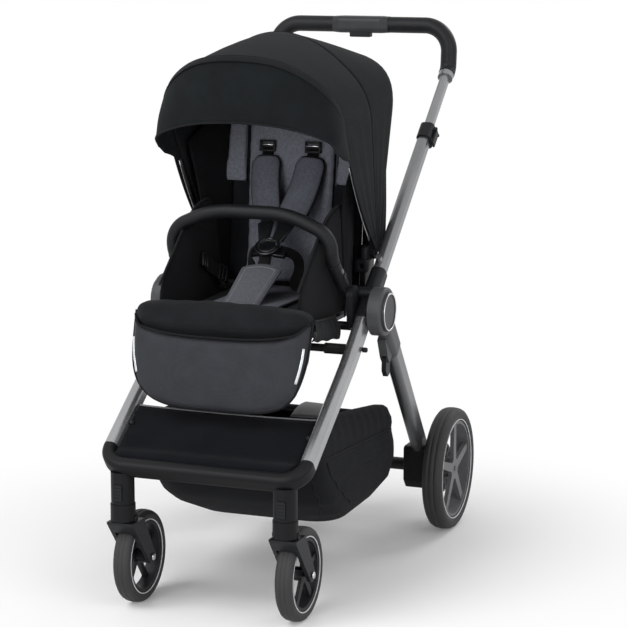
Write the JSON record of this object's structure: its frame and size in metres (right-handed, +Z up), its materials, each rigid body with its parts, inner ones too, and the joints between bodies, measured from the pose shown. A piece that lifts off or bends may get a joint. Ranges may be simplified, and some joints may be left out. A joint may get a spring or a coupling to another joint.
{
  "type": "baby stroller",
  "caption": "Folding baby stroller with swivel front casters, spoked rear wheels, reclining padded seat, folding canopy, bumper bar, leg rest, basket and telescopic handle.",
  "frame": {"origin": "middle of the footprint on the floor", "axes": "+Z up, -Y the way the stroller faces, +X the stroller's left"},
  "size_m": [0.56, 0.977, 1.141],
  "materials": {
    "tube_metal": "satin gunmetal paint",
    "bright_metal": "bare drawn tube",
    "black_plastic": "fine grain moulding",
    "dark_plastic": "satin moulding",
    "rim_plastic": "dark grey moulding",
    "tyre": "matt rubber",
    "steel": "black coated steel",
    "bow_metal": "flat drawn strip",
    "grip_leather": "black grained cover",
    "black_fabric": "close woven cloth",
    "grey_fabric": "melange cloth",
    "charcoal_fabric": "smooth coated cloth",
    "webbing": "woven strap"
  },
  "bodies": {
    "chassis": {"front_legs": "tube_metal", "front_bar": "black_plastic", "leg_hubs": "black_plastic", "cross_brace": "black_plastic", "basket": "black_fabric", "seat_adapters": "black_plastic", "seat_frame": "steel", "seat_cushion": "black_fabric", "side_panels": "black_fabric", "lap_harness": "webbing", "buckle_body": "black_plastic"},
    "handle_frame": {"handle_hubs": "black_plastic", "upper_tubes": "tube_metal", "collars": "black_plastic"},
    "handle_bar": {"inner_tubes": "bright_metal", "handle_grips": "grip_leather", "handle_console": "black_plastic"},
    "collar_lever_left": {"collar_lever_left": "dark_plastic"},
    "collar_lever_right": {"collar_lever_right": "dark_plastic"},
    "fold_trigger": {"fold_trigger": "dark_plastic"},
    "rear_frame": {"rear_hubs": "black_plastic", "hub_caps": "dark_plastic", "rear_legs": "tube_metal", "axle_housings": "black_plastic", "axle_bar": "steel"},
    "rear_wheel_left": {"rear_tyre_left": "tyre", "rear_rim_left": "rim_plastic"},
    "rear_wheel_right": {"rear_tyre_right": "tyre", "rear_rim_right": "rim_plastic"},
    "brake_pedal": {"brake_pedal": "dark_plastic"},
    "brake_pin_left": {"brake_pin_left": "steel"},
    "brake_pin_right": {"brake_pin_right": "steel"},
    "fold_latch": {"fold_latch": "dark_plastic"},
    "caster_left": {"caster_head_left": "black_plastic"},
    "caster_right": {"caster_head_right": "black_plastic"},
    "fork_left": {"caster_fork_left": "black_plastic"},
    "fork_right": {"caster_fork_right": "black_plastic"},
    "front_wheel_left": {"front_tyre_left": "tyre", "front_rim_left": "rim_plastic"},
    "front_wheel_right": {"front_tyre_right": "tyre", "front_rim_right": "rim_plastic"},
    "lock_button_left": {"lock_button_left": "dark_plastic"},
    "lock_button_right": {"lock_button_right": "dark_plastic"},
    "backrest": {"backrest_shell": "black_plastic", "backrest_pad": "black_fabric", "back_liner": "grey_fabric", "back_wings": "black_fabric", "shoulder_pads": "grey_fabric", "shoulder_webbing": "webbing", "canopy_rear_panel": "black_fabric"},
    "canopy_mid": {"canopy_mid_bow": "bow_metal", "canopy_front_panel": "black_fabric"},
    "canopy_front": {"canopy_front_bow": "bow_metal", "canopy_visor": "black_fabric"},
    "leg_rest": {"leg_rest_frame": "black_plastic", "leg_rest_pad": "charcoal_fabric"},
    "bumper": {"bumper_bar": "grip_leather"},
    "bumper_button_left": {"bumper_button_left": "dark_plastic"},
    "bumper_button_right": {"bumper_button_right": "dark_plastic"},
    "buckle_button": {"buckle_button": "dark_plastic"}
  },
  "joints": [
    {"name": "handle_fold", "type": "hinge", "parent": "chassis", "child": "handle_frame", "pos_m": [0, -0.09154, 0.60761], "axis": [1, 0, 0], "range_deg": [0, 160]},
    {"name": "rear_fold", "type": "hinge", "parent": "chassis", "child": "rear_frame", "pos_m": [0, -0.095, 0.571], "axis": [-1, 0, 0], "range_deg": [0, 50]},
    {"name": "handle_telescope", "type": "slide", "parent": "handle_frame", "child": "handle_bar", "axis": [0, 0.7705, 0.6374], "range_m": [-0.16, 0]},
    {"name": "collar_lever_left_swing", "type": "hinge", "parent": "handle_frame", "child": "collar_lever_left", "pos_m": [0.2304, 0.30181, 0.89927], "axis": [0, -0.6374, 0.7705], "range_deg": [0, 100]},
    {"name": "collar_lever_right_swing", "type": "hinge", "parent": "handle_frame", "child": "collar_lever_right", "pos_m": [-0.2304, 0.30181, 0.89927], "axis": [0, 0.6374, -0.7705], "range_deg": [0, 100]},
    {"name": "trigger_press", "type": "slide", "parent": "handle_bar", "child": "fold_trigger", "axis": [0, 0, 1], "range_m": [0, 0.005], "stiffness_N_per_m": 900, "springref_m": -0.004},
    {"name": "rear_wheel_left_spin", "type": "hinge", "parent": "rear_frame", "child": "rear_wheel_left", "pos_m": [0.257, 0.333, 0.1375], "axis": [1, 0, 0], "continuous": true},
    {"name": "rear_wheel_right_spin", "type": "hinge", "parent": "rear_frame", "child": "rear_wheel_right", "pos_m": [-0.257, 0.333, 0.1375], "axis": [1, 0, 0], "continuous": true},
    {"name": "brake_press", "type": "hinge", "parent": "rear_frame", "child": "brake_pedal", "pos_m": [0, 0.333, 0.1375], "axis": [-1, 0, 0], "range_deg": [0, 20]},
    {"name": "brake_pin_left_slide", "type": "slide", "parent": "rear_frame", "child": "brake_pin_left", "axis": [1, 0, 0], "range_m": [0, 0.013]},
    {"name": "brake_pin_right_slide", "type": "slide", "parent": "rear_frame", "child": "brake_pin_right", "axis": [-1, 0, 0], "range_m": [0, 0.013]},
    {"name": "latch_release", "type": "hinge", "parent": "rear_frame", "child": "fold_latch", "pos_m": [0, -0.04372, 0.46529], "axis": [1, 0, 0], "range_deg": [0, 12], "stiffness_Nm_per_rad": 0.6, "springref_deg": -14.32},
    {"name": "caster_left_swivel", "type": "hinge", "parent": "chassis", "child": "caster_left", "pos_m": [0.1724, -0.461, 0.2], "axis": [0, 0, 1], "continuous": true},
    {"name": "suspension_left", "type": "hinge", "parent": "caster_left", "child": "fork_left", "pos_m": [0.1724, -0.456, 0.192], "axis": [1, 0, 0], "range_deg": [0, 6], "stiffness_Nm_per_rad": 15, "springref_deg": -17.19},
    {"name": "front_wheel_left_spin", "type": "hinge", "parent": "fork_left", "child": "front_wheel_left", "pos_m": [0.1724, -0.388, 0.094], "axis": [1, 0, 0], "continuous": true},
    {"name": "swivel_lock_left", "type": "slide", "parent": "chassis", "child": "lock_button_left", "axis": [0, 1, 0], "range_m": [0, 0.003]},
    {"name": "caster_right_swivel", "type": "hinge", "parent": "chassis", "child": "caster_right", "pos_m": [-0.1724, -0.461, 0.2], "axis": [0, 0, 1], "continuous": true},
    {"name": "suspension_right", "type": "hinge", "parent": "caster_right", "child": "fork_right", "pos_m": [-0.1724, -0.456, 0.192], "axis": [1, 0, 0], "range_deg": [0, 6], "stiffness_Nm_per_rad": 15, "springref_deg": -17.19},
    {"name": "front_wheel_right_spin", "type": "hinge", "parent": "fork_right", "child": "front_wheel_right", "pos_m": [-0.1724, -0.388, 0.094], "axis": [1, 0, 0], "continuous": true},
    {"name": "swivel_lock_right", "type": "slide", "parent": "chassis", "child": "lock_button_right", "axis": [0, 1, 0], "range_m": [0, 0.003]},
    {"name": "backrest_recline", "type": "hinge", "parent": "chassis", "child": "backrest", "pos_m": [0, 0.012, 0.572], "axis": [-1, 0, 0], "range_deg": [0, 50]},
    {"name": "canopy_mid_fold", "type": "hinge", "parent": "backrest", "child": "canopy_mid", "pos_m": [0, 0.022, 0.672], "axis": [-1, 0, 0], "range_deg": [0, 24], "deforming": ["canopy_rear_panel"]},
    {"name": "canopy_front_fold", "type": "hinge", "parent": "canopy_mid", "child": "canopy_front", "pos_m": [0, 0.022, 0.672], "axis": [-1, 0, 0], "range_deg": [0, 26], "deforming": ["canopy_front_panel"]},
    {"name": "leg_rest_lift", "type": "hinge", "parent": "chassis", "child": "leg_rest", "pos_m": [0, -0.381, 0.541], "axis": [-1, 0, 0], "range_deg": [0, 70]},
    {"name": "bumper_swing", "type": "hinge", "parent": "chassis", "child": "bumper", "pos_m": [0, -0.118, 0.606], "axis": [1, 0, 0], "range_deg": [0, 20]},
    {"name": "bumper_left_release", "type": "slide", "parent": "bumper", "child": "bumper_button_left", "axis": [-1, 0, 0], "range_m": [0, 0.0025], "stiffness_N_per_m": 800, "springref_m": -0.002},
    {"name": "bumper_right_release", "type": "slide", "parent": "bumper", "child": "bumper_button_right", "axis": [1, 0, 0], "range_m": [0, 0.0025], "stiffness_N_per_m": 800, "springref_m": -0.002},
    {"name": "buckle_press", "type": "slide", "parent": "chassis", "child": "buckle_button", "axis": [0, 0.5573, -0.8303], "range_m": [0, 0.002], "stiffness_N_per_m": 900, "springref_m": -0.002}
  ],
  "couplings": [
    {"joint": "rear_fold", "follows": "handle_fold", "ratio": 0.3125},
    {"joint": "brake_pin_left_slide", "follows": "brake_press", "m_per_rad": 0.037242},
    {"joint": "brake_pin_right_slide", "follows": "brake_press", "m_per_rad": 0.037242},
    {"joint": "canopy_mid_fold", "follows": "canopy_front_fold", "ratio": 0.92308}
  ]
}
